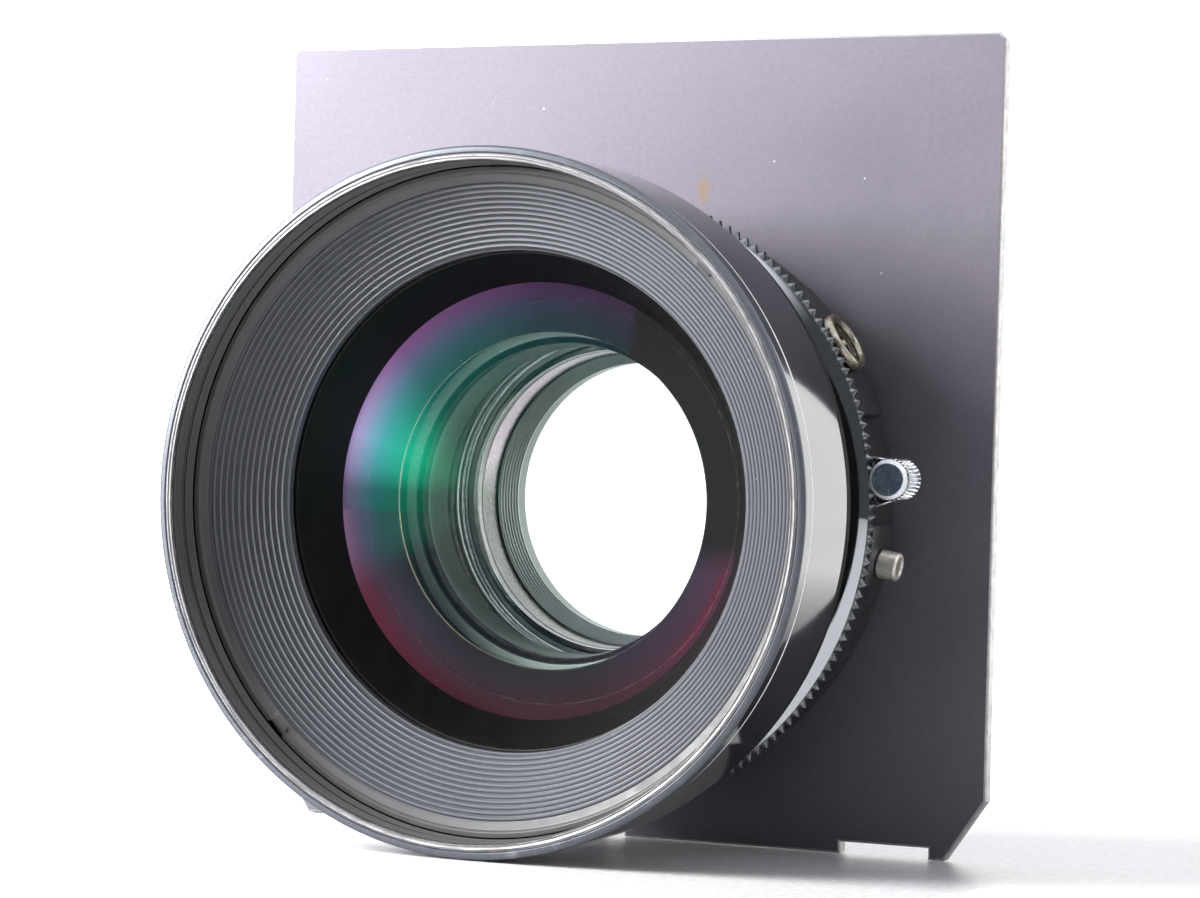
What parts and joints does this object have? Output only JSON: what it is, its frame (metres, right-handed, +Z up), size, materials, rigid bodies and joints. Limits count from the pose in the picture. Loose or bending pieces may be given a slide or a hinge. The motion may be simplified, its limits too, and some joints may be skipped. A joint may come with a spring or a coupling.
{
  "type": "large format camera lens on lens board",
  "caption": "Large-format camera lens in a leaf shutter, bolted to a flat rectangular lens board, with a deep bell-shaped front and serrated speed ring.",
  "frame": {"origin": "centre of the footprint, on the surface that the lens board's bottom edge stands on", "axes": "+Z up along the board, -Y along the optical axis out of the front glass, +Y out of the back of the board, +X to the right seen from the front"},
  "size_m": [0.096, 0.0574, 0.099],
  "materials": {
    "board_anodised": "matte violet-grey black anodising, worn bright on the edges",
    "gloss_black": "polished black lacquer",
    "satin_black": "satin black",
    "matte_black": "flat black against stray light",
    "satin_grey": "satin dark grey with the front edge worn bright",
    "baffle_grey": "fine turned ridges, dark grey",
    "chrome": "polished",
    "warm_nickel": "worn warm nickel plate",
    "blade_steel": "blackened steel",
    "brass_ring": "thin bright edge",
    "insulator_white": "plain",
    "coated_glass": "multi-coated, green and purple reflections"
  },
  "bodies": {
    "lens_body": {"lens_board": "board_anodised", "jam_nut": "satin_black", "shutter_case": "satin_black", "front_cover": "satin_black", "index_ring": "gloss_black", "aperture_scale": "satin_black", "main_spring": "blade_steel", "cover_screw_1": "blade_steel", "cover_screw_2": "blade_steel", "cover_screw_3": "blade_steel", "pivot_plate": "satin_black", "sync_shell": "warm_nickel", "sync_insulator": "insulator_white", "sync_pin": "warm_nickel", "cable_socket": "warm_nickel", "front_barrel": "gloss_black", "filter_rim": "satin_grey", "baffle_retainer": "matte_black", "grooved_baffle": "baffle_grey", "front_retainer": "matte_black", "front_element": "coated_glass", "pair_retainer": "brass_ring", "pair_crown": "coated_glass", "pair_flint": "coated_glass", "rear_barrel": "satin_black", "rear_inner_element": "coated_glass", "rear_spacer": "satin_black", "rear_outer_element": "coated_glass", "rear_retainer": "matte_black"},
    "speed_ring": {"speed_ring": "gloss_black"},
    "release": {"release_lever": "chrome", "release_knob": "chrome"},
    "cocking": {"cocking_lever": "chrome", "cocking_knob": "chrome"},
    "plunger": {"cable_plunger": "blade_steel"},
    "press_focus": {"press_focus_ring": "blade_steel"},
    "aperture": {"aperture_ring": "blade_steel"},
    "shutter_blade_1": {"shutter_blade_1": "blade_steel"},
    "shutter_blade_2": {"shutter_blade_2": "blade_steel"},
    "shutter_blade_3": {"shutter_blade_3": "blade_steel"},
    "shutter_blade_4": {"shutter_blade_4": "blade_steel"},
    "shutter_blade_5": {"shutter_blade_5": "blade_steel"},
    "iris_blade_1": {"iris_blade_1": "blade_steel"},
    "iris_blade_2": {"iris_blade_2": "blade_steel"},
    "iris_blade_3": {"iris_blade_3": "blade_steel"},
    "iris_blade_4": {"iris_blade_4": "blade_steel"},
    "iris_blade_5": {"iris_blade_5": "blade_steel"},
    "iris_blade_6": {"iris_blade_6": "blade_steel"},
    "iris_blade_7": {"iris_blade_7": "blade_steel"}
  },
  "joints": [
    {"name": "speed_ring_turn", "type": "hinge", "parent": "lens_body", "child": "speed_ring", "pos_m": [0, 0.00105, 0.04184], "axis": [0, -1, 0], "range_deg": [-72, 72]},
    {"name": "release_press", "type": "hinge", "parent": "lens_body", "child": "release", "pos_m": [0, 0.00285, 0.04184], "axis": [0, -1, 0], "range_deg": [-12, 0], "stiffness_Nm_per_rad": 0.01, "springref_deg": 11.46},
    {"name": "cable_plunger_slide", "type": "slide", "parent": "lens_body", "child": "plunger", "axis": [-0.9863, 0, 0.165], "range_m": [0, 0.002]},
    {"name": "cocking_swing", "type": "hinge", "parent": "lens_body", "child": "cocking", "pos_m": [0, 0.00285, 0.04184], "axis": [0, -1, 0], "range_deg": [0, 40], "stiffness_Nm_per_rad": 0.01, "springref_deg": -11.46},
    {"name": "press_focus_swing", "type": "hinge", "parent": "lens_body", "child": "press_focus", "pos_m": [0, 0.01285, 0.04184], "axis": [0, -1, 0], "range_deg": [-20, 0]},
    {"name": "aperture_turn", "type": "hinge", "parent": "lens_body", "child": "aperture", "pos_m": [0, 0.0066, 0.04184], "axis": [0, -1, 0], "range_deg": [0, 40]},
    {"name": "shutter_blade_1_pivot", "type": "hinge", "parent": "lens_body", "child": "shutter_blade_1", "pos_m": [0.02348, 0.01235, 0.04683], "axis": [0, -1, 0], "range_deg": [0, 50]},
    {"name": "shutter_blade_2_pivot", "type": "hinge", "parent": "lens_body", "child": "shutter_blade_2", "pos_m": [0.00251, 0.012, 0.06571], "axis": [0, -1, 0], "range_deg": [0, 50]},
    {"name": "shutter_blade_3_pivot", "type": "hinge", "parent": "lens_body", "child": "shutter_blade_3", "pos_m": [-0.02193, 0.01165, 0.0516], "axis": [0, -1, 0], "range_deg": [0, 50]},
    {"name": "shutter_blade_4_pivot", "type": "hinge", "parent": "lens_body", "child": "shutter_blade_4", "pos_m": [-0.01606, 0.0113, 0.024], "axis": [0, -1, 0], "range_deg": [0, 50]},
    {"name": "shutter_blade_5_pivot", "type": "hinge", "parent": "lens_body", "child": "shutter_blade_5", "pos_m": [0.012, 0.01095, 0.02106], "axis": [0, -1, 0], "range_deg": [0, 50]},
    {"name": "iris_blade_1_pivot", "type": "hinge", "parent": "lens_body", "child": "iris_blade_1", "pos_m": [0.02739, 0.00945, 0.04766], "axis": [0, -1, 0], "range_deg": [0, 40]},
    {"name": "iris_blade_2_pivot", "type": "hinge", "parent": "lens_body", "child": "iris_blade_2", "pos_m": [0.01252, 0.0091, 0.06688], "axis": [0, -1, 0], "range_deg": [0, 40]},
    {"name": "iris_blade_3_pivot", "type": "hinge", "parent": "lens_body", "child": "iris_blade_3", "pos_m": [-0.01177, 0.00875, 0.06725], "axis": [0, -1, 0], "range_deg": [0, 40]},
    {"name": "iris_blade_4_pivot", "type": "hinge", "parent": "lens_body", "child": "iris_blade_4", "pos_m": [-0.0272, 0.0084, 0.04848], "axis": [0, -1, 0], "range_deg": [0, 40]},
    {"name": "iris_blade_5_pivot", "type": "hinge", "parent": "lens_body", "child": "iris_blade_5", "pos_m": [-0.02215, 0.00805, 0.02471], "axis": [0, -1, 0], "range_deg": [0, 40]},
    {"name": "iris_blade_6_pivot", "type": "hinge", "parent": "lens_body", "child": "iris_blade_6", "pos_m": [-0.00042, 0.0077, 0.01384], "axis": [0, -1, 0], "range_deg": [0, 40]},
    {"name": "iris_blade_7_pivot", "type": "hinge", "parent": "lens_body", "child": "iris_blade_7", "pos_m": [0.02163, 0.00735, 0.02406], "axis": [0, -1, 0], "range_deg": [0, 40]}
  ],
  "couplings": [
    {"joint": "cable_plunger_slide", "follows": "release_press", "m_per_rad": -0.0095493},
    {"joint": "shutter_blade_1_pivot", "follows": "press_focus_swing", "ratio": -2.5},
    {"joint": "shutter_blade_2_pivot", "follows": "press_focus_swing", "ratio": -2.5},
    {"joint": "shutter_blade_3_pivot", "follows": "press_focus_swing", "ratio": -2.5},
    {"joint": "shutter_blade_4_pivot", "follows": "press_focus_swing", "ratio": -2.5},
    {"joint": "shutter_blade_5_pivot", "follows": "press_focus_swing", "ratio": -2.5},
    {"joint": "iris_blade_1_pivot", "follows": "aperture_turn", "ratio": 1},
    {"joint": "iris_blade_2_pivot", "follows": "aperture_turn", "ratio": 1},
    {"joint": "iris_blade_3_pivot", "follows": "aperture_turn", "ratio": 1},
    {"joint": "iris_blade_4_pivot", "follows": "aperture_turn", "ratio": 1},
    {"joint": "iris_blade_5_pivot", "follows": "aperture_turn", "ratio": 1},
    {"joint": "iris_blade_6_pivot", "follows": "aperture_turn", "ratio": 1},
    {"joint": "iris_blade_7_pivot", "follows": "aperture_turn", "ratio": 1}
  ]
}
